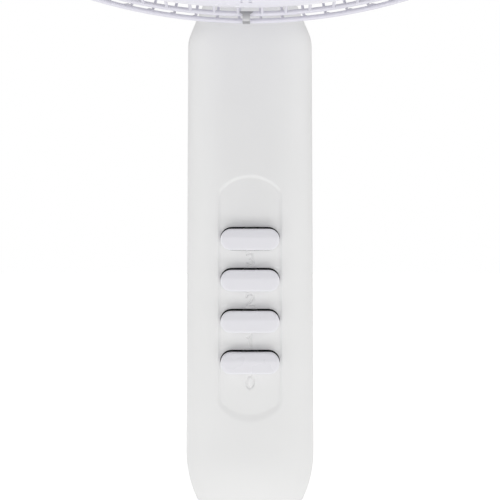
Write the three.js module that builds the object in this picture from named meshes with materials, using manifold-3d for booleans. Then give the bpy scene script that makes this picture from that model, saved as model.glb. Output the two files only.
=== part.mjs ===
// Pedestal fan: a round weighted foot, a telescopic pole, a control column with four push buttons, and a
// tilting, turning head with a caged five-blade fan. Millimetres, +Z up, the fan blows towards -Y.
// The origin is on the floor under the pole.
import * as THREE from "three";
import { mergeVertices } from "three/addons/utils/BufferGeometryUtils.js";
import Module from "manifold-3d";

const wasm = await Module();
wasm.setup();

// Driving dimensions
const GAP = 0.3; // between pieces that touch
const BASE_RADIUS = 190;
const FOOT_COUNT = 5;
const FOOT_CIRCLE = 148;
const TUBE_RADIUS = 14; // outer pole tube
const TUBE_BOTTOM = 10;
const TUBE_TOP = 430;
const STEM_RADIUS = 11; // inner, sliding pole tube
const STEM_BOTTOM = 190;
const STEM_TOP = 700;
const COLUMN_Z = 760; // height of the column group's origin, level with the middle of the button panel
const COLUMN_BOTTOM = -121; // this and the other heights on the column are measured from COLUMN_Z
const BOTTOM_CURVE_Z = -88.3;
const BOTTOM_CURVE_HEIGHT = 37.5;
const SHOULDER_Z = 92;
const NECK_Z = 115;
const COLUMN_TOP = 178;
const COLUMN_HALF_WIDTH = 28; // at the bottom curve
const SHOULDER_HALF_WIDTH = 27.2;
const NECK_HALF_WIDTH = 17.5;
const TOP_HALF_WIDTH = 15.5;
const COLUMN_HALF_DEPTH = 35;
const SHOULDER_HALF_DEPTH = 32;
const TOP_HALF_DEPTH = 17.5;
const WALL = 2.4; // moulded shells
const SPLIT_Y = 6; // plane where the column's front and rear shells meet
const SECTION_POWER = 2.4; // the column's section is a superellipse
const PANEL = { halfWidth: 13.7, low: -65.7, high: 24.6, rise: 7.1, depth: 0.7 };
const BUTTON_PITCH = 17.4;
const BUTTON_TOP_Z = 4.9; // centre of the highest button, above COLUMN_Z
const BUTTON_COUNT = 4;
const BUTTON_WIDTH = 25.1;
const BUTTON_HEIGHT = 10.1;
const BUTTON_PROUD = 6.4; // how far a button stands out of the column's front
const BUTTON_DEPTH = 13; // from a button's face to the back of its cap
const BUTTON_BEVEL = 1.1;
const SLOT_SIDE = 0.35; // clearance beside a button
const SLOT_ABOVE = 1.1; // clearance above a button
const SCREW_PLACES = [[-14, 72], [14, 72], [-18.7, -66], [18.7, -66]]; // x and height of the column's screws
const GLAND_Z = -56;
const POLE_SCREW_Z = -92;
const TILT_Z = 200; // tilt axis, above COLUMN_Z
const HEAD_Z = 1057; // motor axis above the floor
const GUARD_WIRES = 24;
const WIRE = 1.2; // radius of a guard's spoke wire
const RIM_WIRE = 1; // radius of a guard's rim wire
const REAR_RIM = { radius: 209.5, y: -116.5 }; // centre of the rear guard's rim wire
const FRONT_RIM = { radius: 207.5, y: -120.3 };
const GUARD_CORNER = { radius: 193.8, y: -148, bend: 11.5 }; // centre and radius of the front wires' bend
const TRIM_WALL = 1.8;
const CLIP_NAMES = ["bottom", "right", "left"]; // evenly spaced around the rims
const KNOB_Y = 42; // oscillation knob
const BLADE_COUNT = 5;
const BLADE_RADIUS = 200;
const BLADE_Y = -91; // middle of the blades along the motor axis
const SHAFT_RADIUS = 4;
const MOTOR_RADIUS = 50;

// Materials
const plastic = (color, roughness) => new THREE.MeshStandardMaterial({ color, roughness, metalness: 0 });
const metal = (color, roughness) => new THREE.MeshStandardMaterial({ color, roughness, metalness: 1 });
const whitePlastic = plastic(0xe9e9e8, 0.5);
const buttonPlastic = plastic(0xf2f2f6, 0.35);
const bladePlastic = plastic(0xe4e4f0, 0.2);
const darkPlastic = plastic(0x2b2b2d, 0.6);
const rubber = plastic(0x1c1c1c, 0.9);
const paintedWire = plastic(0xe8e8ee, 0.4);
const paintedSteel = plastic(0xececec, 0.4);
const chrome = metal(0xd8d8da, 0.12);
const steel = metal(0x9a9a9c, 0.35);
const darkSteel = metal(0x55565a, 0.5);
const castAlloy = metal(0xa6a8aa, 0.5);
const copper = metal(0xb56a3a, 0.35);

// Geometry to solid, and back
function solid(geometry) {
  const bare = geometry.clone();
  bare.deleteAttribute("normal");
  bare.deleteAttribute("uv");
  const merged = mergeVertices(bare, 1e-3);
  const vertProperties = new Float32Array(merged.attributes.position.array);
  const triVerts = new Uint32Array(merged.index.array);
  const made = new wasm.Manifold(new wasm.Mesh({ numProp: 3, vertProperties, triVerts }));
  if (made.volume() > 0) return made;
  for (let i = 0; i < triVerts.length; i += 3) {
    [triVerts[i + 1], triVerts[i + 2]] = [triVerts[i + 2], triVerts[i + 1]];
  }
  return new wasm.Manifold(new wasm.Mesh({ numProp: 3, vertProperties, triVerts }));
}

function geometryOf(made) {
  const mesh = made.getMesh();
  const position = new THREE.BufferAttribute(new Float32Array(mesh.vertProperties), 3);
  const geometry = new THREE.BufferGeometry().setAttribute("position", position);
  geometry.setIndex(new THREE.BufferAttribute(new Uint32Array(mesh.triVerts), 1));
  geometry.computeVertexNormals();
  return geometry;
}

const join = (first, ...others) => others.reduce((whole, piece) => whole.add(piece), first);
const cut = (first, ...tools) => tools.reduce((left, tool) => left.subtract(tool), first);

// Turns a geometry made around the Y axis so that it lies around the named axis
function along(geometry, axis) {
  if (axis === "z") geometry.rotateX(Math.PI / 2);
  if (axis === "x") geometry.rotateZ(-Math.PI / 2);
  return geometry;
}

// A turned solid. The profile is a list of [radius, distance along the axis]. It starts and ends
// on the axis, or closes on itself.
function turned(profile, axis = "z", segments = 48) {
  const points = profile.map(([radius, distance]) => new THREE.Vector2(radius, distance));
  if (profile[0][0] > 0) points.push(points[0].clone());
  return solid(along(new THREE.LatheGeometry(points, segments), axis));
}

function rod(radius, from, to, axis = "z", segments = 24, at = [0, 0, 0]) {
  const geometry = new THREE.CylinderGeometry(radius, radius, to - from, segments);
  geometry.translate(0, (from + to) / 2, 0);
  return solid(along(geometry, axis).translate(...at));
}

const ring = (inner, outer, from, to, axis = "z", segments = 48) =>
  turned([[inner, from], [outer, from], [outer, to], [inner, to]], axis, segments);

function box(x, y, z) {
  const geometry = new THREE.BoxGeometry(x[1] - x[0], y[1] - y[0], z[1] - z[0]);
  geometry.translate((x[0] + x[1]) / 2, (y[0] + y[1]) / 2, (z[0] + z[1]) / 2);
  return solid(geometry);
}

// A prism of a shape drawn in X and Z, from one Y to another
function prismY(shape, from, to) {
  const options = { depth: to - from, bevelEnabled: false, curveSegments: 6 };
  const geometry = new THREE.ExtrudeGeometry(shape, options);
  geometry.rotateX(Math.PI / 2).translate(0, to, 0);
  return solid(geometry);
}

// A round section swept along a curve
function wire(curve, radius, sides, steps) {
  const section = new THREE.Shape();
  for (let i = 0; i < sides; i++) {
    const angle = (i / sides) * 2 * Math.PI;
    const x = radius * Math.cos(angle);
    const y = radius * Math.sin(angle);
    if (i) section.lineTo(x, y);
    else section.moveTo(x, y);
  }
  return new THREE.ExtrudeGeometry(section, { steps, extrudePath: curve, bevelEnabled: false });
}

// A gripping outline: a circle with shallow waves
function gripShape(radius, depth, waves) {
  const shape = new THREE.Shape();
  const steps = waves * 4;
  for (let i = 0; i < steps; i++) {
    const angle = (i / steps) * 2 * Math.PI;
    const r = radius - depth * (0.5 - 0.5 * Math.cos(angle * waves));
    if (i) shape.lineTo(r * Math.cos(angle), r * Math.sin(angle));
    else shape.moveTo(r * Math.cos(angle), r * Math.sin(angle));
  }
  return shape;
}

// A wavy grip around an axis, from one distance along it to another
function grip(radius, depth, waves, from, to, axis) {
  const options = { depth: to - from, bevelEnabled: false };
  const geometry = new THREE.ExtrudeGeometry(gripShape(radius, depth, waves), options).translate(0, 0, from);
  if (axis === "y") geometry.rotateX(-Math.PI / 2);
  if (axis === "x") geometry.rotateY(Math.PI / 2);
  return solid(geometry);
}

function add(parent, name, made, material) {
  const mesh = new THREE.Mesh(geometryOf(made), material);
  mesh.name = name;
  parent.add(mesh);
}

// The smaller of two values, with the corner between them rounded
function softMin(a, b, size) {
  const share = THREE.MathUtils.clamp(0.5 + (0.5 * (b - a)) / size, 0, 1);
  return THREE.MathUtils.lerp(b, a, share) - size * share * (1 - share);
}

// The column's outer form: half width and half depth at a height
function columnHalf(z) {
  if (z < BOTTOM_CURVE_Z) {
    const share = Math.sqrt(1 - ((BOTTOM_CURVE_Z - z) / BOTTOM_CURVE_HEIGHT) ** 2);
    return [COLUMN_HALF_WIDTH * share, COLUMN_HALF_DEPTH * (0.35 + 0.65 * share)];
  }
  const { lerp, smoothstep } = THREE.MathUtils;
  const rise = (z - BOTTOM_CURVE_Z) / (SHOULDER_Z - BOTTOM_CURVE_Z);
  const side = lerp(COLUMN_HALF_WIDTH, SHOULDER_HALF_WIDTH, rise);
  const taper = lerp(SHOULDER_HALF_WIDTH, NECK_HALF_WIDTH, (z - SHOULDER_Z) / (NECK_Z - SHOULDER_Z));
  const neck = lerp(NECK_HALF_WIDTH, TOP_HALF_WIDTH, (z - NECK_Z) / (COLUMN_TOP - NECK_Z));
  const halfWidth = -softMin(-softMin(side, taper, 2.4), -neck, 3);
  const front = lerp(COLUMN_HALF_DEPTH, SHOULDER_HALF_DEPTH, Math.min(rise, 1));
  return [halfWidth, lerp(front, TOP_HALF_DEPTH, smoothstep(z, SHOULDER_Z - 4, COLUMN_TOP - 13))];
}

const columnFrontY = (z) => -columnHalf(z)[1];

// A solid through superellipse sections at the given heights, shrunk by an inset
function columnForm(heights, inset, segments = 28) {
  const positions = [];
  const index = [];
  heights.forEach((z) => {
    const [halfWidth, halfDepth] = columnHalf(Math.min(Math.max(z, COLUMN_BOTTOM), COLUMN_TOP));
    for (let i = 0; i < segments; i++) {
      const angle = (i / segments) * 2 * Math.PI;
      const c = Math.cos(angle);
      const s = Math.sin(angle);
      const x = (halfWidth - inset) * Math.sign(c) * Math.abs(c) ** (2 / SECTION_POWER);
      const y = (halfDepth - inset) * Math.sign(s) * Math.abs(s) ** (2 / SECTION_POWER);
      positions.push(x, y, z);
    }
  });
  for (let level = 0; level < heights.length - 1; level++) {
    for (let i = 0; i < segments; i++) {
      const a = level * segments + i;
      const b = level * segments + ((i + 1) % segments);
      index.push(a, b, b + segments, a, b + segments, a + segments);
    }
  }
  const bottomCentre = positions.length / 3;
  positions.push(0, 0, heights[0], 0, 0, heights[heights.length - 1]);
  const last = (heights.length - 1) * segments;
  for (let i = 0; i < segments; i++) {
    const next = (i + 1) % segments;
    index.push(bottomCentre, next, i, bottomCentre + 1, last + i, last + next);
  }
  const geometry = new THREE.BufferGeometry();
  geometry.setAttribute("position", new THREE.Float32BufferAttribute(positions, 3));
  geometry.setIndex(index);
  return solid(geometry);
}

// The panel's outline: straight sides, and bowed ends with rounded corners
function panelShape() {
  const shape = new THREE.Shape();
  const power = 2.6;
  const steps = 10;
  for (const [end, sign] of [[PANEL.high, 1], [PANEL.low, -1]]) {
    for (let i = 0; i <= steps; i++) {
      const angle = (i / steps) * Math.PI * sign + (sign > 0 ? 0 : Math.PI);
      const across = Math.sign(Math.cos(angle)) * Math.abs(Math.cos(angle)) ** (2 / power);
      const z = end + sign * PANEL.rise * Math.abs(Math.sin(angle)) ** (2 / power);
      if (i || sign < 0) shape.lineTo(PANEL.halfWidth * across, z);
      else shape.moveTo(PANEL.halfWidth * across, z);
    }
  }
  return shape;
}

function stadium(width, height, z) {
  const radius = height / 2;
  const shape = new THREE.Shape();
  shape.absarc(width / 2 - radius, z, radius, -Math.PI / 2, Math.PI / 2, false);
  shape.absarc(-width / 2 + radius, z, radius, Math.PI / 2, (3 * Math.PI) / 2, false);
  return shape;
}

// Foot: plastic cover over a steel disc on rubber pads, bolted to the pole's plug
function buildBase(parent) {
  const cover = turned([
    [14.3, 24], [110, 18.5], [184, 6.5], [187, 2], [BASE_RADIUS, 3], [188, 9], [160, 15.5], [110, 22.5],
    [38, 30], [25, 35], [18.5, 54], [14.3, 54],
  ], "z", 36);
  add(parent, "base_cover", cover, whitePlastic);
  add(parent, "base_weight", ring(5.6, 155, 4, 9.5, "z", 36), darkSteel);
  for (let i = 0; i < FOOT_COUNT; i++) {
    const angle = (i / FOOT_COUNT) * 2 * Math.PI + Math.PI / 2;
    const at = [FOOT_CIRCLE * Math.cos(angle), FOOT_CIRCLE * Math.sin(angle), 0];
    add(parent, `foot_${i + 1}`, rod(10, 0, 4 - GAP, "z", 16, at), rubber);
  }
  add(parent, "pole_plug", ring(5.3, TUBE_RADIUS - 1.5 - GAP, TUBE_BOTTOM, 36, "z", 20), steel);
  const bolt = join(grip(15, 1.6, 8, 1, 3.7, "z"), rod(5, 3, 32, "z", 16));
  add(parent, "base_bolt", bolt, darkPlastic);
}

// Pole: outer tube, and the sleeve and nut that clamp the inner tube
function buildPole(parent) {
  const outerTube = ring(TUBE_RADIUS - 1.5, TUBE_RADIUS, TUBE_BOTTOM, TUBE_TOP, "z", 28);
  add(parent, "outer_tube", outerTube, paintedSteel);
  const sleeve = turned([
    [14.3, 392], [18.4, 393], [17, 404], [17, 440], [11.3, 440], [11.3, 430.4], [14.3, 430.4],
  ], "z", 28);
  add(parent, "clamp_sleeve", sleeve, whitePlastic);
  const nutBody = join(
    grip(23.2, 1.6, 10, 405, 437, "z"),
    turned([[0, 436], [22, 436], [17, 447], [0, 447]], "z", 28),
  );
  const nutBore = turned([
    [0, 404], [17.3, 404], [17.3, 440.4], [11.5, 440.4], [11.5, 448], [0, 448],
  ], "z", 28);
  add(parent, "clamp_nut", cut(nutBody, nutBore), whitePlastic);
  add(parent, "inner_tube", ring(STEM_RADIUS - 1.2, STEM_RADIUS, STEM_BOTTOM, STEM_TOP, "z", 28), chrome);
}

const buttonZ = (i) => BUTTON_TOP_Z - BUTTON_PITCH * i;

// Column shells: a front cover with the sunk button panel, and a rear shell with screw bosses
function buildShells(parent) {
  const taperLevels = [86, 90, 94, 99, 111, 119, 130, 148];
  const outerLevels = [COLUMN_BOTTOM, -117.5, -112, -104, BOTTOM_CURVE_Z, ...taperLevels, COLUMN_TOP];
  const innerLevels = [-115, -105, BOTTOM_CURVE_Z, ...taperLevels, COLUMN_TOP + 1];
  const outer = columnForm(outerLevels, 0);
  const inner = columnForm(innerLevels, WALL);
  const poleHole = rod(15.3, -130, -100, "z", 24);
  const shell = cut(outer, inner, poleHole);

  const post = (x, z) => rod(3.4, -26, 19, "y", 10, [x, 0, z]).intersect(outer);
  const pilot = (x, z) => rod(1.9, -18, 40, "y", 8, [x, 0, z]);
  const panelTool = cut(prismY(panelShape(), -60, -20), columnForm(outerLevels, PANEL.depth));
  let front = shell.intersect(box([-60, 60], [-60, SPLIT_Y], [-130, 190]));
  SCREW_PLACES.forEach(([x, z]) => {
    front = cut(join(front, post(x, z)), pilot(x, z));
  });
  front = cut(front, panelTool);
  const slotHeight = BUTTON_HEIGHT + GAP + SLOT_ABOVE;
  for (let i = 0; i < BUTTON_COUNT; i++) {
    const opening = stadium(BUTTON_WIDTH + 2 * SLOT_SIDE, slotHeight, buttonZ(i) + (SLOT_ABOVE - GAP) / 2);
    front = cut(front, prismY(opening, -60, -12));
  }
  add(parent, "column_front", front, whitePlastic);

  const boss = (x, z) => rod(4.4, 19 + GAP, 28.5, "y", 12, [x, 0, z]).intersect(outer);
  const counterbore = (x, z) => rod(3.5, 25, 60, "y", 12, [x, 0, z]);
  let rear = shell.intersect(box([-60, 60], [SPLIT_Y + GAP, 60], [-130, 190]));
  SCREW_PLACES.forEach(([x, z]) => {
    rear = cut(join(rear, boss(x, z)), pilot(x, z), counterbore(x, z));
  });
  const glandHole = rod(5.3, 20, 60, "y", 20, [0, 0, GLAND_Z]);
  const poleScrewHole = rod(3.6, 20, 60, "y", 16, [0, 0, POLE_SCREW_Z]);
  rear = cut(rear, glandHole, poleScrewHole);
  add(parent, "column_rear", rear, whitePlastic);

  SCREW_PLACES.forEach(([x, z], i) => {
    const screw = join(rod(1.6, 4, 26, "y", 8, [x, 0, z]), rod(3.2, 25.3, 27.3, "y", 12, [x, 0, z]));
    add(parent, `column_screw_${i + 1}`, screw, steel);
  });
}

// Socket that holds the inner tube, its thumb screw, and the cord's bush
function buildSocket(parent) {
  const sleeve = cut(
    turned([
      [STEM_RADIUS + GAP, -117], [15, -117], [15, -60], [17.5, -60],
      [17.5, -57], [STEM_RADIUS + GAP, -57],
    ], "z", 28),
    rod(3.6, 5, 30, "y", 16, [0, 0, POLE_SCREW_Z]),
  );
  add(parent, "pole_socket", sleeve, darkPlastic);
  const knob = join(
    rod(3, STEM_RADIUS + 0.4, 39, "y", 16, [0, 0, 0]),
    grip(10.5, 1.6, 8, 36.5, 47, "y"),
    rod(5, 35.6, 37, "y", 20, [0, 0, 0]),
  ).translate([0, 0, POLE_SCREW_Z]);
  add(parent, "pole_screw", knob, darkPlastic);
  const bush = turned([
    [3.4, 26], [4.9, 26], [4.9, 34.9], [8, 34.9], [8, 37], [6, 41], [3.4, 41],
  ], "y", 24).translate([0, 0, GLAND_Z]);
  add(parent, "cord_bush", bush, rubber);
}

// Interlocking switch block, its four sprung buttons, and what is wired to it
function buildSwitch(parent) {
  const low = buttonZ(BUTTON_COUNT - 1) - 9;
  const high = buttonZ(0) + 9;
  let block = box([-12, 12], [-18, 6], [low, high]);
  for (let i = 0; i < BUTTON_COUNT; i++) {
    block = cut(block, box([-4, 4], [-30, -5], [buttonZ(i) - 2.6, buttonZ(i) + 2.6]));
  }
  const lowEar = box([-16, 16], [1, 4], [low + 6, low + 14]);
  const highEar = box([-16, 16], [1, 4], [high - 14, high - 6]);
  block = join(block, lowEar, highEar);
  add(parent, "switch_block", block, darkPlastic);

  for (let i = 0; i < BUTTON_COUNT; i++) {
    const z = buttonZ(i);
    const face = columnFrontY(z) - BUTTON_PROUD;
    const bevel = BUTTON_BEVEL;
    const options = { depth: BUTTON_DEPTH - bevel, curveSegments: 6, bevelSegments: 1 };
    const bevels = { bevelThickness: bevel, bevelSize: bevel };
    const capShape = stadium(BUTTON_WIDTH - 2 * bevel, BUTTON_HEIGHT - 2 * bevel, z);
    const blank = new THREE.ExtrudeGeometry(capShape, { ...options, ...bevels });
    blank.rotateX(Math.PI / 2).translate(0, face + BUTTON_DEPTH, 0);
    const capBack = face + BUTTON_DEPTH - bevel;
    const flatBack = box([-20, 20], [face - 5, capBack], [z - 10, z + 10]);
    const cap = solid(blank).intersect(flatBack);
    const stem = box([-3.5, 3.5], [capBack - 0.9, -10], [z - 2, z + 2]);
    add(parent, `button_${BUTTON_COUNT - 1 - i}`, join(cap, stem), buttonPlastic);
  }

  for (let i = 0; i < BUTTON_COUNT; i++) {
    const z = buttonZ(i);
    const back = columnFrontY(z) - BUTTON_PROUD + BUTTON_DEPTH - BUTTON_BEVEL;
    const coil = new Coil(4.9, 3, back + GAP + 0.4, -18 - GAP - 0.4, z);
    add(parent, `button_spring_${BUTTON_COUNT - 1 - i}`, solid(wire(coil, 0.4, 4, 24)), steel);
  }
  add(parent, "capacitor", box([-9, 9], [8, 22], [26, 62]), darkPlastic);
  add(parent, "terminal_block", box([-9, 9], [12, 20], [-44, -30]), whitePlastic);
}

// A coil spring's centre line along Y
class Coil extends THREE.Curve {
  constructor(radius, turns, from, to, z) {
    super();
    Object.assign(this, { radius, turns, from, to, z });
  }

  getPoint(t, target = new THREE.Vector3()) {
    const angle = t * this.turns * 2 * Math.PI;
    const y = this.from + (this.to - this.from) * t;
    return target.set(this.radius * Math.cos(angle), y, this.z + this.radius * Math.sin(angle));
  }
}

// Tilt joint: a fork in the column's top, a neck between its ears, a cross bolt and its knob
function buildTilt(parent) {
  const ears = cut(
    join(
      box([-14.5, 14.5], [-11, 11], [182, TILT_Z]),
      rod(11, -14.5, 14.5, "x", 24, [0, 0, TILT_Z]),
    ),
    box([-9.3, 9.3], [-30, 30], [186, 240]),
    rod(4.3, -30, 30, "x", 16, [0, 0, TILT_Z]),
  );
  const fork = join(
    ears,
    rod(15, COLUMN_TOP + GAP, 183, "z", 24),
    rod(12.4, 140, 180, "z", 20),
  );
  add(parent, "tilt_fork", fork, castAlloy);

  const neck = cut(
    join(
      rod(10.5, -9, 9, "x", 24, [0, 0, TILT_Z]),
      box([-9, 9], [-10.5, 10.5], [TILT_Z, 217]),
      turned([[0, 215], [15, 215], [17, 219], [17, 242.6], [0, 242.6]], "z", 28),
    ),
    rod(4.3, -30, 30, "x", 16, [0, 0, TILT_Z]),
    rod(5.3, 222, 260, "z", 16),
  );
  add(parent, "tilt_neck", neck, whitePlastic);

  const bolt = join(rod(4, -16, 24, "x", 16), rod(7, -19, -14.8, "x", 6)).translate([0, 0, TILT_Z]);
  add(parent, "tilt_bolt", bolt, steel);
  const knob = cut(
    join(
      grip(13, 1.8, 8, 17, 29, "x"),
      rod(8.5, 14.9, 18, "x", 24),
    ),
    rod(4.3, 10, 24.6, "x", 16),
  ).translate([0, 0, TILT_Z]);
  add(parent, "tilt_knob", knob, whitePlastic);
}

// Motor: frame with the pan pin, stator, rotor, gearbox, and its rear cover
function buildMotor(parent) {
  const frame = cut(
    join(
      ring(6.4, 46, -40, -36, "y", 28),
      ring(6.4, 18.6, -54, -39, "y", 20),
      box([-13, 13], [-40, 12], [-51, -44.5]),
      rod(14, -54, -46, "z", 20),
      rod(5, -74, -50, "z", 14),
      box([-13, 13], [8, 12], [-51, -34]),
    ),
    rod(6.4, -60, -20, "y", 20),
  );
  add(parent, "motor_frame", frame, castAlloy);
  add(parent, "front_bearing", ring(SHAFT_RADIUS + 0.2, 6.1, -53, -37, "y", 16), copper);
  add(parent, "stator", ring(20.8, 38, -26, 2, "y", 24), darkSteel);
  add(parent, "coil_front", turned([[23, -26.5], [24, -33], [33, -33], [35, -26.5]], "y", 20), copper);
  add(parent, "coil_rear", turned([[23, 2.5], [35, 2.5], [33, 7.5], [24, 7.5]], "y", 20), copper);
  add(parent, "rotor_core", ring(SHAFT_RADIUS + GAP, 20, -28, 4, "y", 20), steel);
  add(parent, "motor_shaft", rod(SHAFT_RADIUS, -121, 50, "y", 16), chrome);
  add(parent, "rear_bearing", ring(SHAFT_RADIUS + 0.2, 6.1, 13, 21, "y", 16), copper);
  const bracket = join(ring(6.4, 10, 12.4, 21, "y", 20), ring(9, 32, 12.4, 15, "y", 20));
  add(parent, "rear_bracket", bracket, castAlloy);

  const gearbox = cut(
    join(box([-19, 19], [23, 58], [-24, 22]), box([-11, 11], [32, 52], [20, 30])),
    rod(SHAFT_RADIUS + 0.5, 20, 52, "y", 20),
    rod(3.5, 10, 40, "z", 16, [0, KNOB_Y, 0]),
  );
  add(parent, "gearbox", gearbox, darkPlastic);

  const outline = [
    [MOTOR_RADIUS, -35.4], [MOTOR_RADIUS, 44], [47.5, 62], [40, 75.5], [27, 83.5],
  ];
  const lining = [[25.8, 81.2], [38, 73.8], [45.2, 61], [MOTOR_RADIUS - WALL, 44]];
  const profile = [...outline, [0, 88], [0, 85.6], ...lining, [MOTOR_RADIUS - WALL, -35.4]];
  const shell = turned(profile.reverse(), "y", 32);
  let cover = cut(
    shell,
    box([-16, 16], [-40, 16], [-70, -30]),
    rod(4, 30, 70, "z", 20, [0, KNOB_Y, 0]),
    rod(2.2, 70, 100, "y", 16),
  );
  for (let i = 0; i < 6; i++) {
    const slot = box([-2, 2], [60, 100], [18, 34]).rotate([0, (i / 6) * 360, 0]);
    cover = cut(cover, slot);
  }
  add(parent, "motor_cover", cover, whitePlastic);
  add(parent, "cover_screw", join(rod(1.8, 58.6, 89, "y", 12), rod(3.8, 88.3, 90.6, "y", 20)), steel);
  const pull = turned([[0, 51.5], [8.5, 51.5], [7, 60], [9.5, 66], [8.5, 69], [0, 70]], "z", 20);
  const knob = join(rod(3, 14, 54, "z", 16, [0, KNOB_Y, 0]), pull.translate([0, KNOB_Y, 0]));
  add(parent, "oscillation_knob", knob, whitePlastic);
}

// Spoke wires through a curve given as [radius, y], repeated around the motor axis
function spokes(points, steps) {
  const curve = new THREE.CatmullRomCurve3(points.map(([r, y]) => new THREE.Vector3(r, y, 0)));
  const blank = wire(curve, WIRE, 3, steps);
  const made = [];
  for (let i = 0; i < GUARD_WIRES; i++) {
    made.push(solid(blank.clone().rotateY(((i + 0.5) / GUARD_WIRES) * 2 * Math.PI)));
  }
  return made;
}

const hoop = ({ radius, y }) => solid(
  new THREE.TorusGeometry(radius, RIM_WIRE, 4, 2 * GUARD_WIRES)
    .rotateZ(Math.PI / (2 * GUARD_WIRES))
    .rotateX(Math.PI / 2)
    .translate(0, y, 0),
);

// A point [radius, y] on the front wires' bend, or outside it by an offset. The angle is 0 at the
// side and 90 at the front.
function bendPoint(degrees, offset = 0) {
  const angle = THREE.MathUtils.degToRad(degrees);
  const reach = GUARD_CORNER.bend + offset;
  return [GUARD_CORNER.radius + reach * Math.cos(angle), GUARD_CORNER.y - reach * Math.sin(angle)];
}

// Guards: welded wire cages that meet rim to rim. A nut holds the rear one; the front one carries a trim ring
// and a badge.
function buildGuards(parent) {
  const rearPlate = ring(19.4, 60, -42.8, -40.4, "y", 24);
  const rearPath = [
    [57, -41.6], [120, -43], [176, -48], [200.5, -61], [205.3, -84], [REAR_RIM.radius, REAR_RIM.y],
  ];
  add(parent, "rear_guard", join(rearPlate, hoop(REAR_RIM), ...spokes(rearPath, 9)), paintedWire);

  const frontPlate = turned([[0, -165.2], [46, -165.2], [46, -162.6], [0, -162.6]], "y", 24);
  const frontPath = [
    [44, -163.6], [120, -162.6], [170, -161], bendPoint(90), bendPoint(45), bendPoint(0),
    [FRONT_RIM.radius, FRONT_RIM.y],
  ];
  add(parent, "front_guard", join(frontPlate, hoop(FRONT_RIM), ...spokes(frontPath, 10)), paintedWire);
  const inner = WIRE + GAP;
  const trim = [-8, 14, 36, 58, 80];
  const trimProfile = [
    ...trim.map((degrees) => bendPoint(degrees, inner + TRIM_WALL)),
    ...trim.reverse().map((degrees) => bendPoint(degrees, inner)),
  ];
  add(parent, "guard_trim", turned(trimProfile, "y", 48), bladePlastic);
  const badge = turned([[0, -165.6], [48.5, -165.6], [47, -170], [30, -172.3], [0, -173]], "y", 32);
  add(parent, "guard_badge", badge, whitePlastic);

  const nut = cut(grip(33, 2.2, 10, 43.2, 51, "y").rotate([0, 0, 180]), rod(18.9, -60, -30, "y", 24));
  add(parent, "guard_nut", nut, whitePlastic);
}

// Spring clips that hook over both rims. The first is at the bottom.
function buildClips(parent) {
  const clip = join(
    box([-1.3, 1.3], [-122.8, -114], [-211.3, -210.7]),
    box([-1.3, 1.3], [-122.8, -122.2], [-211.3, -206.6]),
    box([-2.7, 2.7], [-122.8, -122.2], [-207.4, -206.2]),
    box([-2.2, 2.2], [-114.6, -114], [-211.3, -207]),
  ).translate([-1.4, 0, 0]);
  CLIP_NAMES.forEach((side, i) => {
    add(parent, `guard_clip_${side}`, clip.rotate([0, (-360 / CLIP_NAMES.length) * i, 0]), steel);
  });
}

// One blade as a thin twisted sheet. Angles are measured around the motor axis from straight down.
function blade() {
  const stations = [27, 60, 110, 160, 192, 199, BLADE_RADIUS];
  const across = 4;
  const half = 1;
  const corner = 12;
  const point = (radius, share, side) => {
    const reach = (radius - 27) / (BLADE_RADIUS - 27);
    const chord = 46 + 82 * Math.sin((Math.min(reach, 1) * Math.PI) / 2) ** 0.9;
    const past = Math.max(0, radius - (BLADE_RADIUS - corner));
    const trim = corner - Math.sqrt(Math.max(0, corner * corner - past * past));
    const width = (chord - 2 * trim) * (share - 0.5);
    const pitch = THREE.MathUtils.degToRad(36 - 20 * reach);
    const angle = (width * Math.cos(pitch)) / radius;
    const camber = 5 * (1 - (2 * share - 1) ** 2) * (1 - 0.4 * reach);
    const y = BLADE_Y + width * Math.sin(pitch) - camber + side * half;
    return [radius * Math.sin(angle), y, -radius * Math.cos(angle)];
  };
  const positions = [];
  const index = [];
  for (const side of [-1, 1]) {
    stations.forEach((radius) => {
      for (let j = 0; j <= across; j++) positions.push(...point(radius, j / across, side));
    });
  }
  const columns = across + 1;
  const back = stations.length * columns;
  const quad = (a, b, c, d) => index.push(a, b, c, a, c, d);
  for (let i = 0; i < stations.length - 1; i++) {
    for (let j = 0; j < across; j++) {
      const a = i * columns + j;
      quad(a, a + 1, a + columns + 1, a + columns);
      quad(back + a, back + a + columns, back + a + columns + 1, back + a + 1);
    }
    const left = i * columns;
    const right = left + across;
    quad(left, left + columns, back + left + columns, back + left);
    quad(right, back + right, back + right + columns, right + columns);
  }
  for (let j = 0; j < across; j++) {
    const tip = (stations.length - 1) * columns + j;
    quad(j, back + j, back + j + 1, j + 1);
    quad(tip, tip + 1, back + tip + 1, back + tip);
  }
  const geometry = new THREE.BufferGeometry();
  geometry.setAttribute("position", new THREE.Float32BufferAttribute(positions, 3));
  geometry.setIndex(index);
  return solid(geometry);
}

// Fan wheel: hub and blades in one moulding, and the spinner nut that holds it on the shaft
function buildFanWheel(parent) {
  const hub = turned([
    [4.3, -112], [26, -112], [32, -106], [32, -68], [29, -68], [29, -106], [9, -108], [9, -76], [4.3, -76],
  ], "y", 24);
  const hollow = turned([
    [0, -60], [29, -60], [29, -106], [9, -108], [9, -76], [4.3, -76], [4.3, -120], [0, -120],
  ], "y", 24);
  let wheel = hub;
  for (let i = 0; i < BLADE_COUNT; i++) {
    wheel = join(wheel, cut(blade().rotate([0, (i / BLADE_COUNT) * 360, 0]), hollow));
  }
  add(parent, "fan_wheel", wheel, bladePlastic);
  const nut = turned([
    [0, -127], [9, -126], [16, -122], [19, -116], [19, -112.4], [4.4, -112.4], [4.4, -122], [0, -122],
  ], "y", 24);
  add(parent, "spinner_nut", nut, bladePlastic);
}

const fan = new THREE.Group();
fan.name = "pedestal_fan";

const stand = new THREE.Group();
buildBase(stand);
buildPole(stand);
fan.add(stand);

const column = new THREE.Group();
column.position.z = COLUMN_Z;
buildShells(column);
buildSocket(column);
buildSwitch(column);
buildTilt(column);
fan.add(column);

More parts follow.
